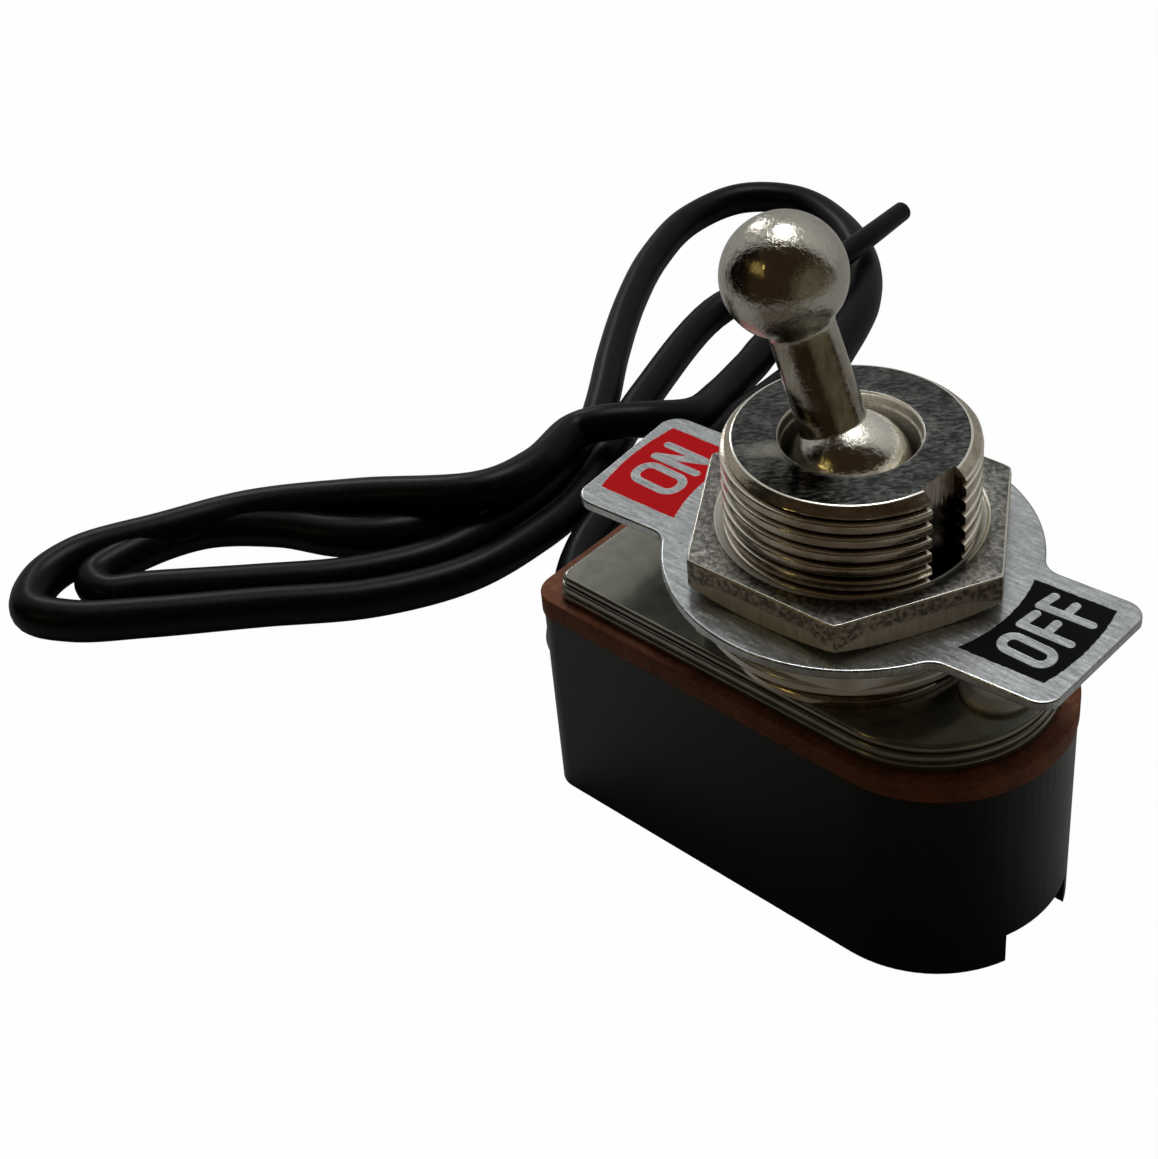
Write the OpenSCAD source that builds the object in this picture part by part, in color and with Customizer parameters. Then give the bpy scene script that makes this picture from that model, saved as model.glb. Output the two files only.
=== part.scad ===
// Panel toggle switch with threaded bushing, hexagon nuts, ON/OFF plate and two wire leads.
// Millimetres. Z runs up the bushing, X along the body toward its round end, Z = 0 is the base of the case.

/* [Case] */
// width of the moulded case
case_w = 13.4; // [13:0.1:14.4]
// straight length of the case from the bushing axis to its square end
case_back = 15.25; // [15:0.05:16.5]
// centre of the round end of the case, from the bushing axis
case_round_x = 4.9; // [4.8:0.1:5.6]
// height of the moulded case
case_h = 11.65; // [11.4:0.05:12.2]
// radius of the two corners of the square end
case_corner_r = 1.4; // [0.8:0.1:2]
// wall of the case round the working parts
case_wall = 1.35; // [1.25:0.05:1.4]
// thickness of the case under the working parts
case_floor = 3; // [2.8:0.1:3.3]
// height of the open recess under each end
recess_h = 1.8; // [1.4:0.1:2]
// width of the recess under each end
recess_w = 4.9; // [4.4:0.1:5.2]

/* [Fibre sheet] */
// thickness of the fibre sheet over the case
fibre_t = 1.25; // [1:0.05:1.6]
// how far the fibre sheet stands out round the case
fibre_over = 0.07; // [0.04:0.01:0.15]

/* [Plates] */
// thickness of each of the three steel plates
plate_t = 0.5; // [0.4:0.02:0.6]
// width of the steel plates
plate_w = 12.5; // [12:0.1:12.9]
// distance from the bushing axis to the square end of the plates
plate_back = 13.8; // [13.4:0.1:14.4]
// distance from the bushing axis to the tip of the round end of the plates
plate_front = 10.8; // [10.5:0.1:11.1]
// corner radius at the square end of the plates
plate_corner_r = 0.6; // [0.4:0.1:1.2]

/* [Bushing] */
// outside diameter of the bushing thread
thread_d = 11.9; // [11.8:0.05:12]
// height of the bushing above the plates
bushing_h = 11; // [10.8:0.1:11.8]
// diameter of the round flange at the foot of the bushing
flange_d = 12.7; // [12.5:0.1:13.2]
// height of the round flange
flange_h = 0.38; // [0.3:0.02:0.6]
// bevel on the top edge of the bushing
bushing_bevel = 0.5; // [0.3:0.05:0.7]
// diameter of the hole in the top of the bushing
mouth_d = 6.56; // [6.5:0.05:6.9]
// diameter of the bore at the foot of the bushing
foot_bore_d = 9.8; // [9.8:0.05:9.9]
// width of the keyway
keyway_w = 1.78; // [1.5:0.05:1.9]
// depth of the keyway
keyway_depth = 0.85; // [0.7:0.05:0.95]

/* [Lever] */
// diameter of the ball on the handle
ball_d = 5.8; // [5.4:0.1:6.4]
// distance from the lever's pivot to the centre of the ball
handle_reach = 10.26; // [9.6:0.02:11]
// diameter of the handle just under the ball
stem_top_d = 3.1; // [2.8:0.05:3.2]
// diameter of the handle where it leaves the pivot ball
stem_foot_d = 3.25; // [3:0.05:3.3]
// diameter of the pivot ball
pivot_ball_d = 5.6; // [5.5:0.05:5.7]
// depth of the pivot below the top of the bushing
pivot_depth = 2.5; // [2.4:0.05:2.6]
// diameter of the pivot pin
pivot_pin_d = 1.2; // [1.1:0.05:1.3]
// swing of the lever from ON to OFF in degrees
throw = 42; // [40:0.5:42]
// diameter of the tail under the pivot ball
tail_d = 2.9; // [2.8:0.05:2.95]
// distance from the pivot to the end of the tail
tail_reach = 8.2; // [8:0.1:8.3]

/* [Contact works] */
// diameter of the plunger's foot
plunger_d = 2.3; // [2.2:0.02:2.34]
// diameter of the plunger's shank
shank_d = 1.6; // [1.5:0.02:1.7]
// swing of the rocker from ON to OFF in degrees
rocker_throw = 20; // [19:0.5:20]
// half the length of the rocker
rocker_reach = 5.9; // [5.7:0.05:5.95]
// depth of the rocker's pin below the top of the case
rocker_drop = 5.05; // [4.85:0.05:5.15]
// diameter of the rocker's pin
rocker_pin_d = 1.2; // [1.1:0.05:1.3]
// width of the rocker
rocker_w = 3.2; // [3:0.1:3.3]
// thickness of the terminal strip
strip_t = 0.6; // [0.5:0.05:0.7]

/* [Mounting parts] */
// metal of both hexagon nuts between the thread and the flats
nut_wall = 1.2; // [1.15:0.05:1.3]
// thickness of both hexagon nuts
nut_t = 1.9; // [1.7:0.05:2]
// height of the underside of the ON/OFF plate above the steel plates
sign_z = 4.06; // [3.9:0.02:4.3]
// thickness of the ON/OFF plate
sign_t = 0.5; // [0.4:0.05:0.6]
// diameter of the ring of the ON/OFF plate
sign_ring_d = 17.9; // [17.6:0.1:18.4]
// reach of the two tabs of the ON/OFF plate from the bushing axis
sign_reach = 13.9; // [13.4:0.1:14.4]
// width of the two tabs
sign_tab_w = 8.2; // [7.6:0.1:8.4]
// width of the ring of the lock washer
washer_ring = 1.39; // [1.3:0.01:1.6]
// thickness of the lock washer
washer_t = 0.55; // [0.45:0.05:0.6]

/* [Rivets] */
// diameter of the rivet heads
rivet_head_d = 3.56; // [3.3:0.02:3.8]
// height of the rivet heads
rivet_head_h = 0.55; // [0.4:0.05:0.7]
// diameter of the rivet shanks
rivet_d = 1.6; // [1.5:0.05:1.7]

/* [Leads] */
// diameter over the insulation of the two leads
lead_d = 2.3; // [2.2:0.05:2.3]

/* [Hidden] */
$fn = 64;
e = 0.01;

case_r = case_w / 2;
fibre_z = case_h;
plates_z = case_h + fibre_t;
plates_top = plates_z + 3 * plate_t;
bushing_top = plates_top + bushing_h;
thread_r = thread_d / 2;
nut_af = thread_d + 2 * nut_wall;
washer_bore_r = thread_r + 0.06;
rocker_pin_z = case_h - rocker_drop;
pivot_z = bushing_top - pivot_depth;
half_throw = throw / 2;
half_rock = rocker_throw / 2;

// running clearances
pin_gap = 0.03;
slide_gap = 0.04;
nut_gap = 0.03;
tip_gap = 0.1;

// lever and plunger
tail_bore_r = shank_d / 2 + slide_gap;
tail_bore_top = 3.5;
tip_r = plunger_d / 2;
rise = pivot_z - rocker_pin_z;
// the rocker's saddle is round about an axis over its pin, so that the tip runs along it at one gap
saddle_h = 1.25;
tip_low = saddle_h + tip_r + tip_gap;
tip_reach = rise - tip_low;
end_x = tip_reach * sin(half_throw) * cos(half_rock) - (rise - tip_reach * cos(half_throw)) * sin(half_rock);
end_z = tip_reach * sin(half_throw) * sin(half_rock) + (rise - tip_reach * cos(half_throw)) * cos(half_rock) - tip_low;
path_r = (end_x * end_x + end_z * end_z) / (2 * end_z);
saddle_r = path_r + tip_r + tip_gap;
rocker_top = 3.85;
arm_h = 0.55;
foot_top = tail_reach + 0.12;
shank_top = tail_bore_top + 2.4;

// bushing
tenon_r = foot_bore_d / 2 + 0.55;
bore_step = pivot_z - 2.4;
bore_taper = 5;
pin_slot = mouth_d + 2.3;
keyway_turn = -2.5;
key_len = pivot_z - 6.4;

// ON/OFF plate
sign_under = plates_top + sign_z;
face_z = sign_under + sign_t;
back_z = sign_under - nut_t;
washer_z = back_z - washer_t;
sign_turn = 4.6;
on_tab_side = 0;
off_tab_side = -0.85;
key_w = keyway_w - 0.3;

// contact
contact_r = 1;
contact_h = 0.6;
contact_s = 5;
dome_r = 2.4;
contact_gap = 0.1;
contact_x = arm_h * sin(half_rock) + contact_s;
button_top = rocker_pin_z + arm_h * cos(half_rock) - contact_h - contact_gap;
pad_top = button_top - 0.6;

// leads and rivets
lead_r = lead_d / 2;
port_z = 4.55;
port_a = -1.95;
port_b = 3.5;
barrel_r = lead_r + 0.27;
barrel_x0 = -12.7;
barrel_x1 = -10.1;
lead_in = -11.2;
rivet_on_x = -10.8;
rivet_on_y = 0.8;
rivet_off_x = 8.35;
cavity_r = case_r - case_wall;
cavity_back = -9;
cavity_front = 6.75;

// outline with a square end at x = -b and a round end of radius r whose tip is at x = f
module d_shape(b, f, r, c) {
  union() {
    translate([f - r, 0]) circle(r, $fn = 96);
    difference() {
      translate([-b, -r]) square([b + f - r, 2 * r]);
      for (s = [-1, 1]) translate([-b - e, s > 0 ? r - c + e : -r - e]) square([c, c]);
    }
    for (s = [-1, 1]) translate([-b + c, s * (r - c)]) circle(c, $fn = 32);
  }
}

module slot(l, w) {
  union() {
    square([2 * l - w, w], center = true);
    for (s = [-1, 1]) translate([s * (l - w / 2), 0]) circle(w / 2, $fn = 32);
  }
}

module up(z) { translate([0, 0, z]) children(); }

// ---- case and plates ----
module case() {
  color([0.05, 0.05, 0.055]) difference() {
    linear_extrude(case_h) d_shape(case_back, case_round_x + case_r, case_r, case_corner_r);
    // room for the rocker and the foot of the plunger
    translate([cavity_back, -cavity_r, case_floor]) cube([cavity_front - cavity_back, 2 * cavity_r, case_h]);
    // channels for the lead ends, either side of the rivet pillar
    translate([-case_back + case_wall, port_a - barrel_r - 0.1, case_floor]) cube([cavity_back + case_back - case_wall + e, 2 * barrel_r + 0.2, case_h]);
    translate([-case_back + case_wall, port_b - barrel_r - 0.1, case_floor]) cube([cavity_back + case_back - case_wall + e, 2 * barrel_r + 0.2, case_h]);
    // holes for the leads
    for (y = [port_a, port_b]) translate([-case_back - e, y, port_z]) rotate([0, 90, 0]) cylinder(h = case_wall + 2 * e, r = lead_r + 0.08, $fn = 32);
    // holes for the rivets
    translate([rivet_on_x, rivet_on_y, -e]) cylinder(h = case_h + 2 * e, d = rivet_d + 0.1, $fn = 32);
    translate([rivet_off_x, 0, -e]) cylinder(h = case_h + 2 * e, d = rivet_d + 0.1, $fn = 32);
    // open recesses under both ends
    translate([6, -recess_w / 2, -e]) cube([9, recess_w, recess_h + e]);
    translate([-case_back - e, rivet_on_y - recess_w / 2, -e]) cube([7, recess_w, recess_h + e]);
  }
}

module fibre_sheet() {
  color([0.35, 0.17, 0.1]) up(fibre_z) difference() {
    linear_extrude(fibre_t) d_shape(case_back + fibre_over, case_round_x + case_r + fibre_over, case_r + fibre_over, case_corner_r);
    up(-e) linear_extrude(fibre_t + 2 * e) slot(6, 3.4);
    rivet_holes(fibre_t);
  }
}

module rivet_holes(t) {
  translate([rivet_on_x, rivet_on_y, -e]) cylinder(h = t + 2 * e, d = rivet_d + 0.1, $fn = 32);
  translate([rivet_off_x, 0, -e]) cylinder(h = t + 2 * e, d = rivet_d + 0.1, $fn = 32);
}

module plate_outline(inset) { d_shape(plate_back - inset, plate_front - inset, plate_w / 2 - inset, plate_corner_r); }

module plate_lower() {
  color([0.62, 0.61, 0.58]) up(plates_z) difference() {
    linear_extrude(plate_t) plate_outline(0);
    up(-e) linear_extrude(plate_t + 2 * e) slot(5.6, 3.2);
    rivet_holes(plate_t);
  }
}

module plate_middle() {
  color([0.66, 0.65, 0.62]) up(plates_z + plate_t) difference() {
    linear_extrude(plate_t) plate_outline(0);
    up(-e) linear_extrude(plate_t + 2 * e) slot(5.4, 3.2);
    rivet_holes(plate_t);
  }
}

module plate_upper() {
  color([0.7, 0.69, 0.66]) up(plates_z + 2 * plate_t) difference() {
    linear_extrude(plate_t) plate_outline(0.08);
    up(-e) cylinder(h = plate_t + 2 * e, r = tenon_r);
    rivet_holes(plate_t);
  }
}

// ---- bushing and its pivot pin ----
module bushing() {
  color([0.45, 0.45, 0.44]) difference() {
    rotate_extrude($fn = 96) polygon([
      [foot_bore_d / 2, plates_top - plate_t], [tenon_r, plates_top - plate_t], [tenon_r, plates_top], [flange_d / 2, plates_top],
      [flange_d / 2, plates_top + flange_h], [thread_r, plates_top + flange_h], [thread_r, bushing_top - bushing_bevel],
      [thread_r - bushing_bevel, bushing_top], [mouth_d / 2, bushing_top], [mouth_d / 2, bore_step], [foot_bore_d / 2, bore_step - bore_taper]]);
    // keyway toward the round end of the body
    rotate([0, 0, keyway_turn]) translate([thread_r - keyway_depth, -keyway_w / 2, key_len]) cube([3, keyway_w, bushing_top]);
    // slots inside the bore that the pivot pin is pushed up into from below
    translate([0, 0, pivot_z]) rotate([90, 0, 0]) cylinder(h = pin_slot, d = pivot_pin_d, center = true, $fn = 32);
    translate([-pivot_pin_d / 2, -pin_slot / 2, bore_step - bore_taper]) cube([pivot_pin_d, pin_slot, pivot_z - bore_step + bore_taper]);
  }
}

module pivot_pin() {
  color([0.6, 0.6, 0.6]) translate([0, 0, pivot_z]) rotate([90, 0, 0]) cylinder(h = pin_slot - 0.1, d = pivot_pin_d, center = true, $fn = 32);
}

// places children hung from the lever's pivot, in the ON position
module on_lever() { translate([0, 0, pivot_z]) rotate([0, -half_throw, 0]) children(); }

module lever() {
  pr = pivot_ball_d / 2;
  color([0.72, 0.7, 0.66]) on_lever() difference() {
    union() {
      up(handle_reach) sphere(d = ball_d, $fn = 64);
      rotate_extrude() polygon([[0, 0], [stem_foot_d / 2, 0], [stem_foot_d / 2, pr - 0.4], [stem_top_d / 2, handle_reach - ball_d / 2 + 0.5], [0, handle_reach]]);
      sphere(r = pr, $fn = 64);
      rotate_extrude() polygon([[0, 0], [0, -tail_reach], [tail_d / 2 - 0.15, -tail_reach], [tail_d / 2, -tail_reach + 0.2], [tail_d / 2, 0]]);
    }
    rotate([90, 0, 0]) cylinder(h = 20, r = pivot_pin_d / 2 + pin_gap, center = true, $fn = 32);
    up(-tail_reach - e) cylinder(h = tail_reach - tail_bore_top + e, r = tail_bore_r, $fn = 32);
  }
}

// ---- plunger and spring ----
module plunger() {
  color([0.85, 0.83, 0.76]) on_lever() union() {
    up(-foot_top - 0.2) cylinder(h = foot_top + 0.2 - shank_top, d = shank_d, $fn = 32);
    rotate_extrude() polygon([[0, -foot_top], [tip_r - 0.2, -foot_top], [tip_r, -foot_top - 0.2], [tip_r, -tip_reach], [0, -tip_reach]]);
    up(-tip_reach) sphere(r = tip_r, $fn = 48);
  }
}

spring_turns = 4;
spring_wire = 0.26;
spring_r = 0.6;
module plunger_spring() {
  len = shank_top - tail_bore_top - 0.04;
  n = spring_turns * 16;
  m = 6;
  wr = spring_wire / 2;
  z1 = -tail_bore_top - 0.02 - wr;
  pitch = (len - spring_wire) / spring_turns;
  pts = [for (i = [0 : n]) let (a = 360 * i / 16, z = z1 - pitch * i / 16) for (j = [0 : m - 1])
    let (b = 360 * j / m, r = spring_r + wr * cos(b)) [r * cos(a), -r * sin(a), z - wr * sin(b)]];
  faces = concat([[for (j = [0 : m - 1]) j]], [[for (j = [0 : m - 1]) n * m + m - 1 - j]],
    [for (i = [0 : n - 1]) for (j = [0 : m - 1]) [i * m + j, (i + 1) * m + j, (i + 1) * m + (j + 1) % m, i * m + (j + 1) % m]]);
  color([0.55, 0.55, 0.56]) on_lever() polyhedron(pts, faces, convexity = 8);
}

// ---- rocker and contacts ----
module on_rocker() { translate([0, 0, rocker_pin_z]) rotate([0, half_rock, 0]) children(); }

module rocker() {
  end_h = arm_h + rocker_reach * tan(half_rock);
  color([0.72, 0.55, 0.25]) on_rocker() difference() {
    union() {
      difference() {
        rotate([90, 0, 0]) linear_extrude(rocker_w, center = true) polygon([[0, arm_h], [rocker_reach, end_h], [rocker_reach, rocker_top],
          [-rocker_reach, rocker_top], [-rocker_reach, end_h]]);
        up(tip_low + path_r) rotate([90, 0, 0]) cylinder(h = rocker_w + 1, r = saddle_r, center = true, $fn = 128);
      }
      rotate([90, 0, 0]) cylinder(h = rocker_w, r = 1.1, center = true, $fn = 32);
    }
    rotate([90, 0, 0]) cylinder(h = 20, r = rocker_pin_d / 2 + pin_gap, center = true, $fn = 32);
  }
}

module rocker_contact() {
  color([0.8, 0.8, 0.8]) on_rocker() up(arm_h) rotate([0, -half_rock, 0])
    intersection() {
      translate([contact_s, 0, -contact_h]) cylinder(h = contact_h, r = contact_r, $fn = 32);
      translate([contact_s, 0, dome_r - contact_h]) sphere(r = dome_r, $fn = 48);
    }
}

module rocker_pin() {
  color([0.6, 0.6, 0.6]) translate([0, 0, rocker_pin_z]) rotate([90, 0, 0]) cylinder(h = rocker_w + 1.8, d = rocker_pin_d, center = true, $fn = 32);
}

// barrel that grips the end of a lead
module barrel(y) {
  difference() {
    translate([barrel_x0, y, port_z]) rotate([0, 90, 0]) cylinder(h = barrel_x1 - barrel_x0, r = barrel_r, $fn = 32);
    translate([barrel_x0 - e, y, port_z]) rotate([0, 90, 0]) cylinder(h = lead_in - barrel_x0 + e, r = lead_r + 0.02, $fn = 32);
  }
}

module common_terminal() {
  ear = rocker_w / 2 + 0.15;
  color([0.76, 0.6, 0.3]) union() {
    translate([-2.2, -ear - strip_t, case_floor]) cube([4.4, 2 * (ear + strip_t), strip_t]);
    for (s = [-1, 1]) difference() {
      union() {
        translate([-1.3, s > 0 ? ear : -ear - strip_t, case_floor]) cube([2.6, strip_t, rocker_pin_z - case_floor]);
        translate([0, s * (ear + strip_t / 2), rocker_pin_z]) rotate([90, 0, 0]) cylinder(h = strip_t, r = 1.3, center = true, $fn = 32);
      }
      translate([0, 0, rocker_pin_z]) rotate([90, 0, 0]) cylinder(h = 20, d = rocker_pin_d, center = true, $fn = 32);
    }
    difference() {
      translate([barrel_x0 + 0.2, port_a - 0.85, case_floor]) cube([-2 - barrel_x0, 1.7, strip_t]);
      translate([barrel_x0 - e, port_a, port_z]) rotate([0, 90, 0]) cylinder(h = lead_in - barrel_x0 + e, r = lead_r + 0.02, $fn = 32);
    }
    barrel(port_a);
  }
}

module on_terminal() {
  y0 = port_b - 0.85;
  color([0.76, 0.6, 0.3]) union() {
    difference() {
      translate([barrel_x0 + 0.2, y0, case_floor]) cube([6.5 - barrel_x0 - 0.2, 1.7, strip_t]);
      translate([barrel_x0 - e, port_b, port_z]) rotate([0, 90, 0]) cylinder(h = lead_in - barrel_x0 + e, r = lead_r + 0.02, $fn = 32);
    }
    barrel(port_b);
    translate([6.5 - strip_t, -1.4, case_floor]) cube([strip_t, y0 + 1.4 + 1.7, pad_top - case_floor]);
    translate([contact_x - 1.3, -1.4, pad_top - strip_t]) cube([6.5 - contact_x + 1.3, 2.8, strip_t]);
  }
}

module on_contact() {
  color([0.8, 0.8, 0.8]) translate([contact_x, 0, pad_top]) cylinder(h = button_top - pad_top, r = contact_r, $fn = 32);
}

// ---- rivets ----
module rivet(x, y) {
  r = rivet_head_d / 2;
  rolled_r = rivet_d / 2 + 0.55;
  color([0.6, 0.6, 0.58]) translate([x, y, 0]) rotate_extrude($fn = 48) polygon([
    [0, recess_h - 0.7], [rolled_r - 0.25, recess_h - 0.7], [rolled_r, recess_h - 0.45], [rolled_r, recess_h], [rivet_d / 2, recess_h], [rivet_d / 2, plates_top],
    [r - 0.06, plates_top], [r, plates_top + 0.08], [r - 0.05, plates_top + rivet_head_h * 0.6], [r - 0.35, plates_top + rivet_head_h], [0, plates_top + rivet_head_h]]);
}
module rivet_on() rivet(rivet_on_x, rivet_on_y);
module rivet_off() rivet(rivet_off_x, 0);

// ---- nuts, washer, ON/OFF plate ----
module nut(z, turn) {
  rc = nut_af / 2 / cos(30);
  color([0.62, 0.61, 0.58]) up(z) difference() {
    intersection() {
      rotate([0, 0, turn]) cylinder(h = nut_t, r = rc, $fn = 6);
      rotate_extrude($fn = 96) polygon([[0, 0], [nut_af / 2 + 0.1, 0], [rc, 0.44], [rc, nut_t - 0.1], [rc - 0.12, nut_t], [0, nut_t]]);
    }
    up(-e) cylinder(h = nut_t + 2 * e, r = thread_r + nut_gap);
  }
}
module face_nut() nut(face_z, 3);
module back_nut() nut(back_z, 6.5);

module lock_washer() {
  color([0.6, 0.6, 0.6]) up(washer_z) difference() {
    cylinder(h = washer_t, r = washer_bore_r + washer_ring, $fn = 96);
    up(-e) cylinder(h = washer_t + 2 * e, r = washer_bore_r);
  }
}

// one tab along +X: straight sides about y = side, an arc end about the bushing axis, rounded outer
// corners, and hollow corners where it meets the ring
module sign_tab(side) {
  rr = sign_ring_d / 2;
  hw = sign_tab_w / 2;
  cr = 1.1;
  fr = 1.2;
  intersection() {
    circle(sign_reach, $fn = 160);
    translate([0, side - hw + cr]) square([sign_reach + 1, 2 * (hw - cr)]);
  }
  for (t = [-1, 1]) {
    yc = side + t * (hw - cr);
    xc = sqrt(pow(sign_reach - cr, 2) - yc * yc);
    translate([xc, yc]) circle(cr, $fn = 32);
    translate([0, t > 0 ? yc : yc - cr]) square([xc, cr]);
    yf = side + t * hw;
    xf = sqrt(pow(rr + fr, 2) - pow(yf + t * fr, 2));
    difference() {
      translate([xf - 2.2, t > 0 ? yf - 0.5 : yf - 0.9]) square([2.2, 1.4]);
      translate([xf, yf + t * fr]) circle(fr, $fn = 48);
    }
  }
}

module sign_outline() {
  difference() {
    union() {
      circle(sign_ring_d / 2, $fn = 128);
      sign_tab(off_tab_side);
      rotate(180) sign_tab(-on_tab_side);
    }
    circle(thread_r + 0.32, $fn = 96);
  }
}

module sign_plate() {
  color([0.8, 0.8, 0.82]) up(sign_under) linear_extrude(sign_t) union() {
    rotate(sign_turn) sign_outline();
    // key that sits in the bushing's keyway
    rotate(keyway_turn) translate([thread_r - keyway_depth + 0.12, -key_w / 2]) square([1.6, key_w]);
  }
}

// ---- leads ----
// points along a route smoothed through its corners
function mid(a, b, t) = a + (b - a) * t;
function spline(p, i, t) = let (n = len(p) - 1, a = p[max(i - 1, 0)], b = p[i], c = p[min(i + 1, n)], d = p[min(i + 2, n)])
  0.5 * (2 * b + (c - a) * t + (2 * a - 5 * b + 4 * c - d) * t * t + (3 * b - a - 3 * c + d) * t * t * t);
function unit(v) = v / norm(v);
module cord(route, r, sides) {
  m = len(route);
  faces = concat([[for (j = [0 : sides - 1]) j]], [[for (j = [0 : sides - 1]) (m - 1) * sides + sides - 1 - j]],
    [for (i = [0 : m - 2]) for (j = [0 : sides - 1]) [i * sides + j, (i + 1) * sides + j, (i + 1) * sides + (j + 1) % sides, i * sides + (j + 1) % sides]]);
  pts = [for (i = [0 : m - 1]) let (f = i == 0 ? unit([1, 0, 0]) : unit(route[i] - route[i - 1]), g = i == m - 1 ? f : unit(route[i + 1] - route[i]),
    d = i == 0 ? [-1, 0, 0] : unit(f + g), s = unit(cross([0, 0, 1], d)), u = cross(d, s))
    for (j = [0 : sides - 1]) let (a = 360 * (j + 0.5) / sides) route[i] + r * (cos(a) * s - sin(a) * u)];
  polyhedron(pts, faces, convexity = 10);
}

// the two leads: out of the square end and along the bench in two long loops, one laid over the other
route_a = [[lead_in, port_a, port_z], [-15.25, port_a, port_z], [-16.8, -2, 4.4], [-18.8, -1.2, 3.8], [-20.7, 0.6, 2.9], [-22.6, 2.6, 1.9],
  [-24.4, 4.6, 1.3], [-26, 7.2, 1.15], [-27.2, 10.6, 1.15], [-27.6, 15, 1.15], [-27.5, 21, 1.2], [-27.3, 27, 1.2], [-27.6, 30.6, 1.2],
  [-29.1, 32.8, 1.2], [-31, 31.6, 1.3], [-31.5, 28.4, 1.3], [-30.9, 24.6, 1.7], [-30.4, 21.2, 2.9], [-30.8, 18.2, 3.8], [-32.1, 15.7, 3.8],
  [-33.5, 13.7, 3.5], [-34.6, 11.4, 2.6], [-35.6, 8.2, 1.7], [-37.4, 6.2, 1.4], [-41.4, 3.2, 1.4], [-46.1, -1.6, 1.3], [-49.2, -6.4, 1.3],
  [-51.2, -11.4, 1.3], [-50.9, -14.9, 1.3], [-48.6, -16.9, 1.3], [-45.9, -16, 1.2], [-42.6, -12.9, 1.2], [-37.7, -7.9, 1.2],
  [-33, -3.2, 1.2], [-30.2, 1.7, 1.2], [-29.5, 6.3, 1.2], [-29.8, 11, 1.2], [-30.8, 15.8, 1.2], [-33.8, 21.5, 1.2], [-35.9, 27.5, 1.2],
  [-36.6, 32.9, 1.3], [-35.8, 37.6, 2.2], [-34.1, 40.4, 3.3], [-32.9, 43, 3.7], [-32.8, 45.8, 2.8], [-33.9, 48.9, 1.6]];
route_b = [[lead_in, port_b, port_z], [-15.25, port_b, port_z], [-17.2, 3.7, 4.3], [-19.8, 5.3, 3.1], [-21.8, 8.2, 1.8], [-23, 12.4, 1.15],
  [-23.7, 17.4, 1.15], [-24.2, 23.4, 1.15], [-24.7, 29.4, 1.15], [-26.1, 34, 1.15], [-28.7, 38.8, 1.15], [-32.3, 42.7, 1.15],
  [-36.7, 45.8, 1.15], [-41.5, 47, 1.15], [-45.1, 45, 1.15], [-46.2, 40.4, 1.15], [-45, 35.1, 1.15], [-42.5, 29.7, 1.15],
  [-39.1, 24.1, 1.15], [-35.7, 19.6, 1.15], [-33.3, 15.6, 1.15], [-32.3, 11.5, 1.15], [-32.1, 6.9, 1.15], [-32.9, 2, 1.15],
  [-35.6, -2.5, 1.15], [-39.8, -6.7, 1.15], [-44.4, -11, 1.15], [-46.3, -12.9, 1.15], [-48, -12.5, 1.15], [-48.1, -9.9, 1.15],
  [-45.9, -5.6, 1.15], [-42, -1.4, 1.15], [-37.7, 2.6, 1.15], [-34.7, 5.6, 1.15]];
module lead_a() { color([0.06, 0.06, 0.065]) cord(route_a, lead_r, 8); }
module lead_b() { color([0.06, 0.06, 0.065]) cord(route_b, lead_r, 8); }

case();
fibre_sheet();
plate_lower();
plate_middle();
plate_upper();
bushing();
lever();
pivot_pin();
plunger();
plunger_spring();
rocker();
rocker_contact();
rocker_pin();
common_terminal();
on_terminal();
on_contact();
rivet_on();
rivet_off();
back_nut();
lock_washer();
sign_plate();
face_nut();
lead_a();
lead_b();
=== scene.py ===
"""Panel toggle switch with threaded bushing, two hexagon nuts, an ON/OFF plate and two black wire leads.

Lengths are in millimetres in the shape functions and become metres where a mesh is made. Z runs up the
bushing, X along the body toward its round end, and Z = 0 is the underside of the case.
"""

import math

import bmesh
import bpy
import numpy as np
from mathutils import Matrix, Vector


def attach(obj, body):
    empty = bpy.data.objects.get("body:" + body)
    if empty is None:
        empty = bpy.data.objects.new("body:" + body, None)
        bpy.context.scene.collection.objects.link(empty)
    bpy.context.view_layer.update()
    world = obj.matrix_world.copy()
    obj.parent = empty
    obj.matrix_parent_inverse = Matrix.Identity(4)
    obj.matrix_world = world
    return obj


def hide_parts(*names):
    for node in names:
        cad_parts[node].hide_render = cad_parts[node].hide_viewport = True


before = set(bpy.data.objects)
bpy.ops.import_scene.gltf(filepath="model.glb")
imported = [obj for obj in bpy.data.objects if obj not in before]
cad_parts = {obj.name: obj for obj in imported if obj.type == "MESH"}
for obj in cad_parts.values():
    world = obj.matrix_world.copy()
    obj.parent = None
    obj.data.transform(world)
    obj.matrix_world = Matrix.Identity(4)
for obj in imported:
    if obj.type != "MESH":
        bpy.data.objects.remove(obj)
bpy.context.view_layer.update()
scene = bpy.context.scene
MM = 0.001
TAU = 2 * math.pi
SAME_POINT = 1e-7  # metres: points closer than this are one

# ---------------------------------------------------------------- sizes, as in the part's source
CASE_TOP = 11.65
PLATES = 12.9
SHEET = 0.5
PLATES_TOP = 14.4
BUSHING_TOP = 25.4
THREAD_R = 5.95
PITCH = 25.4 / 32
PIVOT_Z = 22.9
PIVOT_R = 3.02
BORE_R = 3.16
TILT = math.radians(-21)
WASHER_Z = 16.01
BACK_NUT_Z = 16.56
SIGN_Z = 18.46
FACE_NUT_Z = 18.96
NUT_T = 1.9
NUT_FLATS = 14.3
KEYWAY = math.radians(-4.7)
HALF_KEYWAY = 1.11
KEYWAY_DEPTH = 0.85
LEAD_R = 1.15
STRANDS = 7
STEPS = 9  # spans of a lead's curve between two points of its route
RIGHT = (0.73, 0.68)  # X and Y of the direction that the camera sees as right


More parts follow.
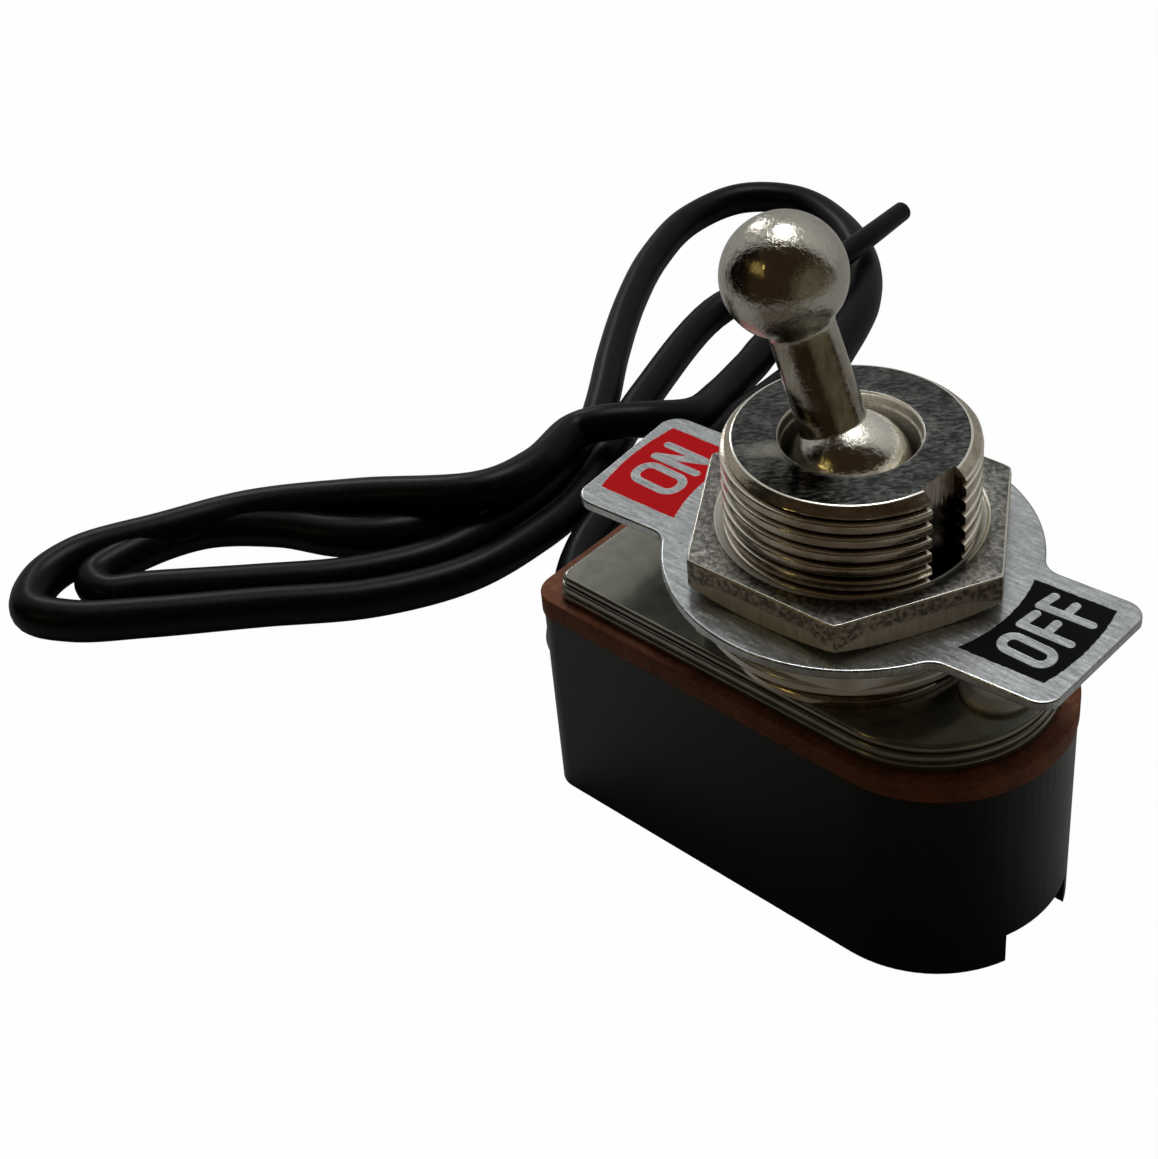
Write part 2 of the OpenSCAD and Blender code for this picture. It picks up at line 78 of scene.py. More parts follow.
# ---------------------------------------------------------------- camera
def make_camera():
    """The camera looks down on the round end from the near side, with the body running off to the left."""
    data = bpy.data.cameras.new("camera")
    data.sensor_width = 36
    data.lens = 71.89
    data.clip_start, data.clip_end = 0.005, 4
    camera = bpy.data.objects.new("camera", data)
    scene.collection.objects.link(camera)
    right, up, back = (0.7292, 0.6795, -0.0812), (-0.3835, 0.5041, 0.7739), (0.5668, -0.5331, 0.6281)
    place = (0.05269, -0.06721, 0.08673)
    camera.matrix_world = Matrix([[right[k], up[k], back[k], place[k]] for k in range(3)] + [[0, 0, 0, 1]])
    scene.camera = camera


make_camera()


# ---------------------------------------------------------------- meshes
def finish_mesh(name, mesh, body, sharp):
    """Merges doubles, points every face outwards, marks edges over the sharp angle and puts the piece on its body."""
    bm = bmesh.new()
    bm.from_mesh(mesh)
    bmesh.ops.remove_doubles(bm, verts=bm.verts, dist=SAME_POINT)
    bmesh.ops.dissolve_degenerate(bm, edges=bm.edges, dist=SAME_POINT)
    bmesh.ops.recalc_face_normals(bm, faces=bm.faces)
    bm.to_mesh(mesh)
    bm.free()
    mesh.polygons.foreach_set("use_smooth", np.ones(len(mesh.polygons), bool))
    mesh.set_sharp_from_angle(angle=math.radians(sharp))
    mesh.update()
    piece = bpy.data.objects.new(name, mesh)
    scene.collection.objects.link(piece)
    even_faces(piece)
    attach(piece, body)
    return piece


def even_faces(piece):
    """Large faces keep their own normals, and only the narrow faces of an eased edge blend."""
    modifier = piece.modifiers.new("even faces", "WEIGHTED_NORMAL")
    modifier.keep_sharp, modifier.weight, modifier.mode = True, 90, "FACE_AREA"


def surface(name, P, body="body", ends="cap", uv=None, sharp=35):
    """Surface over the grid P[i, j] of points in millimetres.

    j runs round the piece and closes on itself; i runs along it. ends is "cap" for one many-sided face on each
    end row, or "ring" to join the last row to the first.
    uv[i, j] has one more column, and one more row for a ring, so that the seam closes.
    """
    rows, cols = P.shape[:2]
    ni = rows if ends == "ring" else rows - 1
    i, j = np.meshgrid(np.arange(ni), np.arange(cols), indexing="ij")
    ci = np.stack([i, i, i + 1, i + 1], -1).reshape(-1)
    cj = np.stack([j, j + 1, j + 1, j], -1).reshape(-1)
    loops = (ci % rows) * cols + cj % cols
    sizes = np.full(ni * cols, 4)
    if ends == "cap":
        loops = np.concatenate([loops, np.arange(cols)[::-1], (rows - 1) * cols + np.arange(cols)])
        sizes = np.concatenate([sizes, [cols, cols]])
    mesh = bpy.data.meshes.new(name)
    mesh.vertices.add(rows * cols)
    mesh.vertices.foreach_set("co", (P.reshape(-1) * MM).astype(np.float32))
    mesh.loops.add(len(loops))
    mesh.loops.foreach_set("vertex_index", loops.astype(np.int32))
    mesh.polygons.add(len(sizes))
    starts = np.concatenate([[0], np.cumsum(sizes)[:-1]])
    mesh.polygons.foreach_set("loop_start", starts.astype(np.int32))
    mesh.update(calc_edges=True)
    if uv is not None:
        flat = uv[ci, cj].reshape(-1, 2)
        if ends == "cap":
            flat = np.concatenate([flat, uv[0, :cols][::-1], uv[-1, :cols]])
        layer = mesh.uv_layers.new(name="flow")
        layer.data.foreach_set("uv", flat.astype(np.float32).reshape(-1))
    mesh.validate()
    return finish_mesh(name, mesh, body, sharp)


def arc(cx, cy, r, a0, a1, n):
    """n + 1 points on a circle of radius r about (cx, cy), from angle a0 to a1 in degrees."""
    a = np.radians(np.linspace(a0, a1, n + 1))
    return np.stack([cx + r * np.cos(a), cy + r * np.sin(a)], 1)


def rounded(points, radii, n=5):
    """A profile whose corners are replaced by arcs that are tangent to both of their sides."""
    p = np.asarray(points, float)
    out = [p[:1]]
    for k in range(1, len(p) - 1):
        r = radii[k] if np.ndim(radii) else radii
        a, b = p[k - 1] - p[k], p[k + 1] - p[k]
        la, lb = np.linalg.norm(a), np.linalg.norm(b)
        a, b = a / la, b / lb
        half = math.acos(float(np.clip(a @ b, -1, 1))) / 2
        if r <= 0 or half > math.pi / 2 - 0.01:
            out.append(p[k:k + 1])
            continue
        t = min(r / math.tan(half), 0.49 * la, 0.49 * lb)
        r = t * math.tan(half)
        centre = p[k] + (a + b) / np.linalg.norm(a + b) * r / math.sin(half)
        s, e = p[k] + a * t - centre, p[k] + b * t - centre
        s0 = math.atan2(s[1], s[0])
        turn = (math.atan2(e[1], e[0]) - s0 + math.pi) % TAU - math.pi
        w = s0 + turn * np.linspace(0, 1, n + 1)
        # a point just before and just after the arc keeps the faces beside it flat
        before, after = (
            [p[k] + v * (t + 0.04)] if length > 2 * t + 0.2 else np.empty((0, 2)) for v, length in ((a, la), (b, lb)))
        out += [before, centre + r * np.stack([np.cos(w), np.sin(w)], 1), after]
    out.append(p[-1:])
    return np.concatenate(out)


def lathe(name, profile, body="body", n=96, centre=(0, 0, 0), tilt=0.0, ends="cap", sharp=35):
    """Turns a profile of (radius, height) about Z, then tilts it about Y and moves it to its centre."""
    q = np.asarray(profile, float)
    a = np.linspace(0, TAU, n, endpoint=False)
    P = np.stack([q[:, :1] * np.cos(a), q[:, :1] * np.sin(a), q[:, 1:] + 0 * a], -1)
    uv = np.stack([np.linspace(0, TAU, n + 1) + 0 * q[:, :1], q[:, 1:] + 0 * np.linspace(0, 1, n + 1)], -1)
    if ends == "ring":
        uv = np.concatenate([uv, uv[:1]])
    c, s = math.cos(tilt), math.sin(tilt)
    P = np.stack([c * P[..., 0] + s * P[..., 2], P[..., 1], c * P[..., 2] - s * P[..., 0]], -1) + np.array(centre)
    return surface(name, P, body, ends, uv=uv, sharp=sharp)


def shrink(loop, d):
    """A closed outline moved inwards by d along its own normals; the outline runs anticlockwise."""
    t = np.roll(loop, -1, 0) - np.roll(loop, 1, 0)
    t /= np.linalg.norm(t, axis=1, keepdims=True)
    return loop - d * np.stack([t[:, 1], -t[:, 0]], 1)


def spaced(loop, n):
    """The same closed outline with n points at even steps along it."""
    p = np.concatenate([loop, loop[:1]])
    s = np.concatenate([[0], np.cumsum(np.linalg.norm(np.diff(p, axis=0), axis=1))])
    t = np.linspace(0, s[-1], n, endpoint=False)
    return np.stack([np.interp(t, s, p[:, k]) for k in (0, 1)], 1)


def slab(name, outline, z0, z1, edge, hole):
    """A flat piece of one outline with rounded rims, and a round hole of radius hole about the Z axis."""
    rim = [(edge * (1 - math.sin(w)), edge * (1 - math.cos(w))) for w in np.linspace(0, math.pi / 2, 5)]
    rim = rim + [(0.0, edge + 0.06)]
    rows = [(shrink(outline, d), z0 + h) for h, d in reversed(rim)] + [(shrink(outline, d), z1 - h) for h, d in rim]
    a = np.arctan2(outline[:, 1], outline[:, 0])
    ring = hole * np.stack([np.cos(a), np.sin(a)], 1)
    P = np.array([np.column_stack([xy, np.full(len(xy), z)]) for xy, z in [(ring, z0), *rows, (ring, z1)]])
    return surface(name, P, ends="ring", sharp=30)


def body_outline(back, tip, r, corner, n=420):
    """Square end with small corners at x = -back, round end of radius r whose tip is at x = tip."""
    return spaced(np.concatenate([
        arc(tip - r, 0, r, -90, 90, 90),
        arc(-back + corner, r - corner, corner, 90, 180, 14),
        arc(-back + corner, -r + corner, corner, 180, 270, 14)]), n)


# ---------------------------------------------------------------- leads
ROUTE_A = [
    (-11.2, -1.95, 4.55), (-15.25, -1.95, 4.55), (-18.8, -1.2, 3.8), (-20.7, 0.6, 2.9), (-22.6, 2.6, 1.9),
    (-26, 7.2, 1.15), (-27.2, 10.6, 1.15), (-27.6, 15, 1.15), (-27.5, 21, 1.2), (-27.3, 27, 1.2),
    (-27.6, 30.6, 1.2), (-29.1, 32.8, 1.2), (-31, 31.6, 1.3), (-30.5, 28.3, 1.3), (-29.5, 24.2, 1.7),
    (-28.4, 20.2, 2.9), (-29.4, 17.4, 3.8), (-31.2, 15.5, 3.9), (-32.5, 13.9, 3.6), (-31.8, 9.7, 3.7),
    (-32.7, 6.2, 3.6), (-39.5, 1.7, 2.6), (-44.8, -2.6, 1.9), (-47.7, -7.3, 1.7), (-50.3, -11.9, 1.5),
    (-50.2, -14.9, 1.4), (-48.4, -16.8, 1.35), (-45.9, -15.9, 1.3), (-42.6, -12.9, 1.2), (-37.7, -7.9, 1.2),
    (-33, -3.2, 1.2), (-30.2, 1.7, 1.2), (-29.5, 6.3, 1.2), (-29.8, 11, 1.2), (-33.8, 21.5, 1.2),
    (-36.6, 32.9, 1.3), (-34.2, 35.9, 2.2), (-32.1, 37.9, 3.3), (-31.8, 41.9, 3.6), (-32.4, 47.4, 3.2)]
ROUTE_B = [
    (-11.2, 3.5, 4.55), (-15.25, 3.5, 4.55), (-17.2, 3.7, 4.3), (-19.8, 5.3, 3.1), (-21.8, 8.2, 1.8),
    (-23, 12.4, 1.15), (-23.7, 17.4, 1.15), (-24.2, 23.4, 1.15), (-25.8, 28.7, 1.35), (-27.1, 33, 1.35),
    (-29.2, 38.4, 1.35), (-32.3, 42.6, 1.15), (-36.7, 45.8, 1.15), (-41.5, 47, 1.15), (-45.1, 45, 1.15),
    (-46.2, 40.4, 1.15), (-44.9, 35.1, 1.15), (-42.3, 29.7, 1.15), (-38.9, 24.2, 1.15), (-35.7, 19.6, 1.15),
    (-33.3, 15.6, 1.15), (-32.3, 11.5, 1.15), (-32.1, 6.9, 1.15), (-32.9, 2, 1.15), (-35.6, -2.5, 1.15),
    (-39.8, -6.7, 1.15), (-44.4, -11, 1.15), (-46.3, -12.9, 1.15), (-48, -12.5, 1.15), (-48.1, -9.9, 1.15),
    (-46.5, -5.4, 1.25), (-42.6, -2.2, 1.3), (-38.9, -0.5, 1.34), (-36.4, 1.7, 1.34), (-34.9, 4.5, 1.25),
    (-34.5, 8.2, 1.2)]
# radius along each route: point of the route, radius
WIDTH_A = [
    (0, LEAD_R), (18, LEAD_R), (20, 1.25), (26, 1.3), (31, LEAD_R), (35, 1.1), (36, 1.0), (37, 0.88), (38, 0.76),
    (39, 0.68)]
WIDTH_B = [
    (0, LEAD_R), (6, LEAD_R), (8, 1.34), (10, 1.34), (13, 1.09), (18, 1.09), (21, LEAD_R), (27, 1.2), (31, 1.25),
    (32, 1.34), (33, 1.34), (35, 1.2)]


def smooth_route(route):
    """A smooth curve through every point of a route: the cubic between two points leans on both neighbours."""
    p = np.asarray(route, float)
    p = np.concatenate([[2 * p[0] - p[1]], p, [2 * p[-1] - p[-2]]])
    t = np.linspace(0, 1, STEPS, endpoint=False)[:, None]
    out = []
    for k in range(1, len(p) - 2):
        k0, k1, k2, k3 = p[k - 1:k + 3]
        d0, d1, d2 = (max(np.linalg.norm(v), 1e-6) ** 0.5 for v in (k1 - k0, k2 - k1, k3 - k2))
        m1 = ((k1 - k0) / d0 - (k2 - k0) / (d0 + d1) + (k2 - k1) / d1) * d1
        m2 = ((k2 - k1) / d1 - (k3 - k1) / (d1 + d2) + (k3 - k2) / d2) * d1
        out.append((2 * t**3 - 3 * t**2 + 1) * k1 + (t**3 - 2 * t**2 + t) * m1
                   + (3 * t**2 - 2 * t**3) * k2 + (t**3 - t**2) * m2)
    return np.concatenate(out + [p[-2:-1]])


def tube(name, path, radius, sides=24):
    """A round tube along a path, with a rim at each cut end; the section stays square to the path and upright."""
    rim = 0.12
    d = np.gradient(path, axis=0)
    d /= np.linalg.norm(d, axis=1, keepdims=True)
    side = np.cross([0, 0, 1.0], d)
    side /= np.linalg.norm(side, axis=1, keepdims=True)
    over = np.cross(d, side)
    a = np.linspace(0, TAU, sides, endpoint=False)
    r = radius + np.zeros(len(path))
    path, side, over, r = (np.concatenate([v[:1], v, v[-1:]]) for v in (path, side, over, r))
    r[0], r[-1] = r[0] - rim, r[-1] - rim
    path[1] += (path[2] - path[1]) * 0.1
    path[-2] += (path[-3] - path[-2]) * 0.1
    P = path[:, None] + r[:, None, None] * (np.cos(a)[:, None] * side[:, None] + np.sin(a)[:, None] * over[:, None])
    s = np.concatenate([[0], np.cumsum(np.linalg.norm(np.diff(path, axis=0), axis=1))])
    uv = np.stack([s[:, None] + 0 * np.arange(sides + 1), np.linspace(0, 1, sides + 1) + 0 * s[:, None]], -1)
    return surface(name, P, uv=uv, sharp=50)


def make_lead(name, route, width, node):
    """A lead along its route, whose radius runs evenly between the stated ones, with bare strands at its free end."""
    path = smooth_route(route)
    at, radius = np.array(width).T
    radius = np.interp(np.arange(len(path)) / STEPS, at, radius)
    path[:, 2] = np.maximum(path[:, 2], radius)
    lead = tube(name, path, radius)
    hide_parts(node)
    # stranded copper, just proud of the insulation at the free end
    end, along = path[-1], path[-1] - path[-2]
    along /= np.linalg.norm(along)
    side = np.cross([0, 0, 1.0], along)
    side /= np.linalg.norm(side)
    strand_r, ring_r = 0.187 * radius[-1], 0.38 * radius[-1]
    strands = []
    for k in range(STRANDS):
        turn = k * TAU / (STRANDS - 1)
        away = (0 if k == 0 else ring_r) * (math.cos(turn) * side + math.sin(turn) * np.cross(along, side))
        points = np.array([end + away + along * step for step in (-0.8, -0.3, 0.05)])
        strand = tube(f"{name}_strand_{k + 1}", points, strand_r, 10)
        strands.append(strand)
    return lead, strands


lead_a, strands_a = make_lead("lead_a_insulation", ROUTE_A, WIDTH_A, "lead_a")
lead_b, strands_b = make_lead("lead_b_insulation", ROUTE_B, WIDTH_B, "lead_b")


# ---------------------------------------------------------------- bushing
def bushing_surface():
    """Threaded bushing. Outside the keyway the radius is the crest radius less the thread depth times a
    flat-topped V of the turn count, which is height over pitch less angle over a full turn; the rows follow the
    helix. The bevel at the top is a cone that the thread runs out through: it widens by 1.2 for each unit down.
    The keyway's two walls stand parallel, and its floor is flat."""
    depth, floor_x, half_w, outer_cols = 0.47, THREAD_R - KEYWAY_DEPTH, HALF_KEYWAY, 200
    low, high = PLATES_TOP + 0.38, BUSHING_TOP
    edge_a = math.asin(half_w / THREAD_R)
    over_floor = np.array([-1, -0.5, 0, 0.5, 1])
    ang = np.concatenate([np.linspace(edge_a, TAU - edge_a, outer_cols), TAU + edge_a * over_floor])
    column = np.arange(len(ang))
    across = np.concatenate([np.zeros(outer_cols), half_w * over_floor])
    stops = np.array([0, 0.2, 0.245, 0.275, 0.31, 0.45, 0.5, 0.55, 0.69, 0.725, 0.755, 0.8])
    heights = np.array([0, 0.005, 0.02, 0.06, 0.16, 0.92, 1, 0.92, 0.16, 0.06, 0.02, 0.005])
    turns = np.arange(-2, math.ceil((high - low) / PITCH) + 2)
    u = (turns[:, None] + stops).reshape(-1)
    v = np.tile(heights, len(turns))
    z = low + PITCH * (u[:, None] - ang / TAU)
    # across the keyway the rows come back down to where the next turn starts
    last = z[:, outer_cols - 1:outer_cols]
    z[:, outer_cols:] = last + (z[:, :1] - last) * np.linspace(0, 1, len(over_floor))
    z = np.clip(z, low, high - 0.03)
    r = THREAD_R - depth * v[:, None] + 0 * ang
    r = np.where(z <= low + 1e-6, THREAD_R - depth, r)
    r = np.minimum(r, THREAD_R - 0.52 + (high - z) * 1.2)
    foot = np.array([(5.3, PLATES_TOP), (6.3, PLATES_TOP), (6.35, PLATES_TOP + 0.05), (6.35, low - 0.05), (6.3, low)])
    mouth = rounded([
        (5.44, high - 0.012), (5.36, high), (3.34, high), (3.26, high - 0.08), (3.24, high - 0.55),
        (BORE_R, high - 0.62), (BORE_R, high - 4.4), (3.28, high - 4.6), (3.28, 20.5), (4.9, 15.5), (4.9, 13.95),
        (5.3, 13.95)], [0, 0, 0.05, 0.04, 0.04, 0.03, 0.1, 0.05, 0.1, 0.2, 0, 0], 3)
    R = np.concatenate([foot[:, :1] + 0 * ang, r, mouth[:, :1] + 0 * ang])
    Z = np.concatenate([foot[:, 1:] + 0 * ang, z, mouth[:, 1:] + 0 * ang])
    x, y = R * np.cos(ang), R * np.sin(ang)
    cut = (column >= outer_cols) & (R > floor_x) & (Z > low - 1e-6)
    x, y = np.where(cut, floor_x, x), np.where(cut, across, y)
    # the first and last thread columns stand on the keyway's walls
    on_wall = np.isin(column, (0, outer_cols - 1)) & (R > floor_x)
    y = np.where(on_wall, np.where(column == 0, half_w, -half_w), y)
    x = np.where(on_wall, np.sqrt(np.maximum(R**2 - half_w**2, 0)), x)
    c, s = math.cos(KEYWAY), math.sin(KEYWAY)
    P = np.stack([c * x - s * y, s * x + c * y, Z], -1)
    return surface("threaded_bushing", P, ends="ring", sharp=28)


bushing = bushing_surface()
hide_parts("bushing")


# ---------------------------------------------------------------- lever
def lever_surface():
    """Ball, tapered stem, pivot ball and tail, turned from one bar; the stem runs into the ball with a small hollow."""
    ball_r, reach, rise, tail_r, foot_r, neck_r = 2.9, 10.12, 0.2, 1.45, 1.6, 1.56
    stem_top = reach - math.sqrt(ball_r**2 - 1.55**2)
    low = -math.degrees(math.acos(tail_r / PIVOT_R))
    foot = math.degrees(math.acos((foot_r + 0.01) / PIVOT_R))
    neck = 14 - math.degrees(math.asin((reach - stem_top) / ball_r))
    pivot = arc(0, rise, PIVOT_R, low, foot, 60)
    stem = np.stack([np.linspace(foot_r, neck_r, 9), np.linspace(rise + 2.6, stem_top - 1.0, 9)], 1)
    ball = arc(0, reach, ball_r, neck, 89.5, 60)
    hollow = rounded([(neck_r, stem_top - 1.0), (1.55, stem_top), tuple(ball[0])], [0, 0.55, 0], 6)[1:-1]
    tail = rounded([(0.2, -8.2), (1.3, -8.2), (tail_r, -8.05), (tail_r, pivot[0][1] - 0.02)], 0.03, 2)
    profile = np.concatenate([tail, pivot, stem, hollow, ball])
    return lathe("handle", profile, "handle", 128, (0, 0, PIVOT_Z), TILT, sharp=40)


handle = lever_surface()
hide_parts("lever")


# ---------------------------------------------------------------- nuts and washer
def nut_surface(name, z, turn, chamfer_low, chamfer_top):
    """Hexagon nut. At each angle the wall stands at the hexagon's radius, and a cone that starts just outside the
    flats cuts the corners off at the bottom and, less, at the top, so that each row follows the arc where they meet.
    The radius over a flat is half the width over the flats divided by the cosine of the angle from its middle."""
    a0 = np.concatenate([np.linspace(-30, 30, 25)[:-1] + 60 * k for k in range(6)])
    snap = (a0 + 30) % 60 - 30
    ang = np.radians(a0 + turn + 30)
    flat, corner, ease = NUT_FLATS / 2, math.radians(30), 0.12
    hexr = np.minimum(flat / np.cos(np.radians(snap)), flat / math.cos(corner) - 0.06)
    low = z + np.maximum(hexr - flat - 0.02, 0) * chamfer_low + 0.05
    top = z + NUT_T - np.maximum(hexr - flat - 0.02, 0) * chamfer_top - 0.05
    inner = THREAD_R - 0.05
    ones = np.ones_like(ang)
    rows = [
        (inner * ones, z + 0.3 * ones), ((inner + 0.3) * ones, z * ones), ((flat - 0.25) * ones, z * ones),
        ((flat - 0.1) * ones, z + 0.012 * ones), (hexr - 0.03, low - 0.035), (hexr, low + 0.01)]
    rows += [(hexr, low + (top - low) * part) for part in (0.25, 0.5, 0.75)]
    drop = z + NUT_T - top - 0.05
    rows += [
        (hexr - ease * (1 - math.cos(w)), z + NUT_T - drop * (1 - w / 1.6) - ease * (1 - math.sin(w)))
        for w in np.linspace(0, math.pi / 2, 6)]
    rows += [
        ((flat - 0.35) * ones, z + NUT_T * ones), ((inner + 0.4) * ones, z + NUT_T * ones),
        ((inner + 0.36) * ones, z + NUT_T - 0.02 * ones), (inner * ones, z + NUT_T - 0.25 * ones)]
    P = np.stack([np.stack([r * np.cos(ang), r * np.sin(ang), h], -1) for r, h in rows])
    # u runs along each flat from its middle, v up from the underside
    u = np.append(flat * np.tan(np.radians(snap)), flat * math.tan(corner))
    hh = np.array([h - z for r, h in rows])
    hh = np.concatenate([hh, hh[:, :1]], 1)
    uv = np.stack([u + 0 * hh, hh], -1)
    uv = np.concatenate([uv, uv[:1]])
    return surface(name, P, ends="ring", uv=uv, sharp=30)


face_nut = nut_surface("upper_hexagon_nut", FACE_NUT_Z, 2.4, 0.35, 0.0)
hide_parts("face_nut")
back_nut = nut_surface("lower_hexagon_nut", BACK_NUT_Z, 6.5, 0.42, 0.1)
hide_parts("back_nut")
washer_corners = [(6.02, WASHER_Z), (7.4, WASHER_Z), (7.4, BACK_NUT_Z), (6.02, BACK_NUT_Z)]
washer = lathe("spring_washer", rounded(washer_corners, [0, 0.16, 0.16, 0], 5), n=160, ends="ring")
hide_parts("lock_washer")


# ---------------------------------------------------------------- ON/OFF plate
def sign_outline():
    """Round ring with a tab on each side; arcs all round: ring, hollow corner, outer corner, arc end, and back."""
    rr, hw, cr, fr, reach = 8.95, 4.1, 1.1, 1.2, 13.9

    def tab(side):
        parts = []
        for t in (-1, 1):
            yf, yc = side + t * hw, side + t * (hw - cr)
            xf, xc = math.sqrt((rr + fr) ** 2 - (yf + t * fr) ** 2), math.sqrt((reach - cr) ** 2 - yc**2)
            out = math.degrees(math.atan2(yc, xc))
            ring = math.degrees(math.atan2(-(yf + t * fr), -xf)) % 360
            hollow = arc(xf, yf + t * fr, fr, ring, 90 if t < 0 else 270, 10)
            corner = arc(xc, yc, cr, t * 90, out, 12)
            parts.append(np.concatenate([hollow, corner]))
        return np.concatenate([parts[0], parts[1][::-1]])

    def bearing(point):
        return math.degrees(math.atan2(point[1], point[0]))

    off, on = tab(-0.85), -tab(0.0)
    loop = np.concatenate([
        off, arc(0, 0, rr, bearing(off[-1]) + 1, bearing(on[0]) - 1, 60),
        on, arc(0, 0, rr, bearing(on[-1]) % 360 + 1, bearing(off[0]) % 360 - 1, 60)])
    w = math.radians(4.6)
    loop = loop @ np.array([[math.cos(w), math.sin(w)], [-math.sin(w), math.cos(w)]])
    return spaced(loop, 640)


sign = slab("on_off_plate", sign_outline(), SIGN_Z, FACE_NUT_Z, 0.1, THREAD_R + 0.3)
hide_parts("sign_plate")


# ---------------------------------------------------------------- plates, fibre sheet, rivets
def plate(name, node, z0, inset, edge):
    """One of the stacked plates, with a hairline of air above and below it."""
    outline, air = body_outline(13.8 - inset, 10.8 - inset, 6.25 - inset, 0.6), 0.012
    piece = slab(name, outline, z0 + air, z0 + SHEET - air, edge, 5.2)
    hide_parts(node)
    return piece


plates = [
    plate("lower_plate", "plate_lower", PLATES, 0, 0.12),
    plate("middle_plate", "plate_middle", PLATES + SHEET, 0.02, 0.12),
    plate("upper_plate", "plate_upper", PLATES + 2 * SHEET, 0.1, 0.2)]
fibre = slab("brown_fibre_sheet", body_outline(15.32, 11.67, 6.77, 1.4), CASE_TOP + 0.01, PLATES - 0.01, 0.1, 3.0)
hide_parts("fibre_sheet")


def rivet(name, node, x, y):
    """Drawn rivet: a low dished head over the plates, a shank, and a rolled end in the recess below."""
    top = PLATES_TOP
    head = rounded([(0.02, top + 0.5), (1.2, top + 0.52), (1.78, top + 0.3), (1.7, top)], [0, 0.4, 0.25, 0], 6)
    shank = [(0.8, top - 0.01), (0.8, 1.8), (1.35, 1.78), (1.35, 1.3), (1.05, 1.1), (0.02, 1.1)]
    shank = rounded(shank, [0, 0, 0.2, 0.2, 0.1, 0], 4)
    piece = lathe(name, np.concatenate([head, shank]), n=72, centre=(x, y, 0))
    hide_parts(node)
    return piece


rivets = [rivet("off_end_rivet", "rivet_off", 8.35, 0), rivet("on_end_rivet", "rivet_on", -10.8, 0.8)]


# ---------------------------------------------------------------- case: the moulding with its edges eased
def eased_copy(node, name, width):
    """The part's own solid with its doubles merged, its flat faces joined and its edges eased."""
    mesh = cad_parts[node].data.copy()
    mesh.name = name
    mesh.materials.clear()
    bm = bmesh.new()
    bm.from_mesh(mesh)
    bmesh.ops.remove_doubles(bm, verts=bm.verts, dist=1e-6)
    bmesh.ops.dissolve_limit(bm, angle_limit=math.radians(0.5), verts=bm.verts, edges=bm.edges)
    bm.to_mesh(mesh)
    bm.free()
    piece = bpy.data.objects.new(name, mesh)
    scene.collection.objects.link(piece)
    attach(piece, "body")
    bevel = piece.modifiers.new("eased edges", "BEVEL")
    sharp = math.radians(35)
    bevel.width, bevel.segments, bevel.limit_method, bevel.angle_limit = width * MM, 3, "ANGLE", sharp
    mesh.polygons.foreach_set("use_smooth", np.ones(len(mesh.polygons), bool))
    mesh.set_sharp_from_angle(angle=sharp)
    even_faces(piece)
    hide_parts(node)
    return piece


case = eased_copy("case", "moulded_case", 0.12)


# ---------------------------------------------------------------- materials
class Value:
    """One output of a node, with arithmetic on it written as Python."""

    def __init__(self, kit, socket):
        self.kit, self.socket = kit, socket

    def math(self, kind, other=0.0, clamp=False):
        return self.kit.node("ShaderNodeMath", {"operation": kind, "use_clamp": clamp}, {0: self, 1: other})[0]

    def __add__(self, o): return self.math("ADD", o)
    def __radd__(self, o): return self.math("ADD", o)
    def __sub__(self, o): return self.math("SUBTRACT", o)
    def __mul__(self, o): return self.math("MULTIPLY", o)
    def __rmul__(self, o): return self.math("MULTIPLY", o)
    def __truediv__(self, o): return self.math("DIVIDE", o)
    def __rsub__(self, o): return self.math("MULTIPLY", -1.0) + o
    def __abs__(self): return self.math("ABSOLUTE")
    def least(self, o): return self.math("MINIMUM", o)
    def most(self, o): return self.math("MAXIMUM", o)
    def root(self): return self.math("SQRT")
    def held(self): return self.math("ADD", 0.0, clamp=True)

    def over(self, edge, soft):
        """0 below the edge and 1 above it, with a ramp as wide as soft between them."""
        return ((self - edge) / soft + 0.5).held()

    def within(self, low, high, soft):
        """1 from low to high, with a ramp as wide as soft on each side."""
        return self.over(low, soft) * (1 - self.over(high, soft))


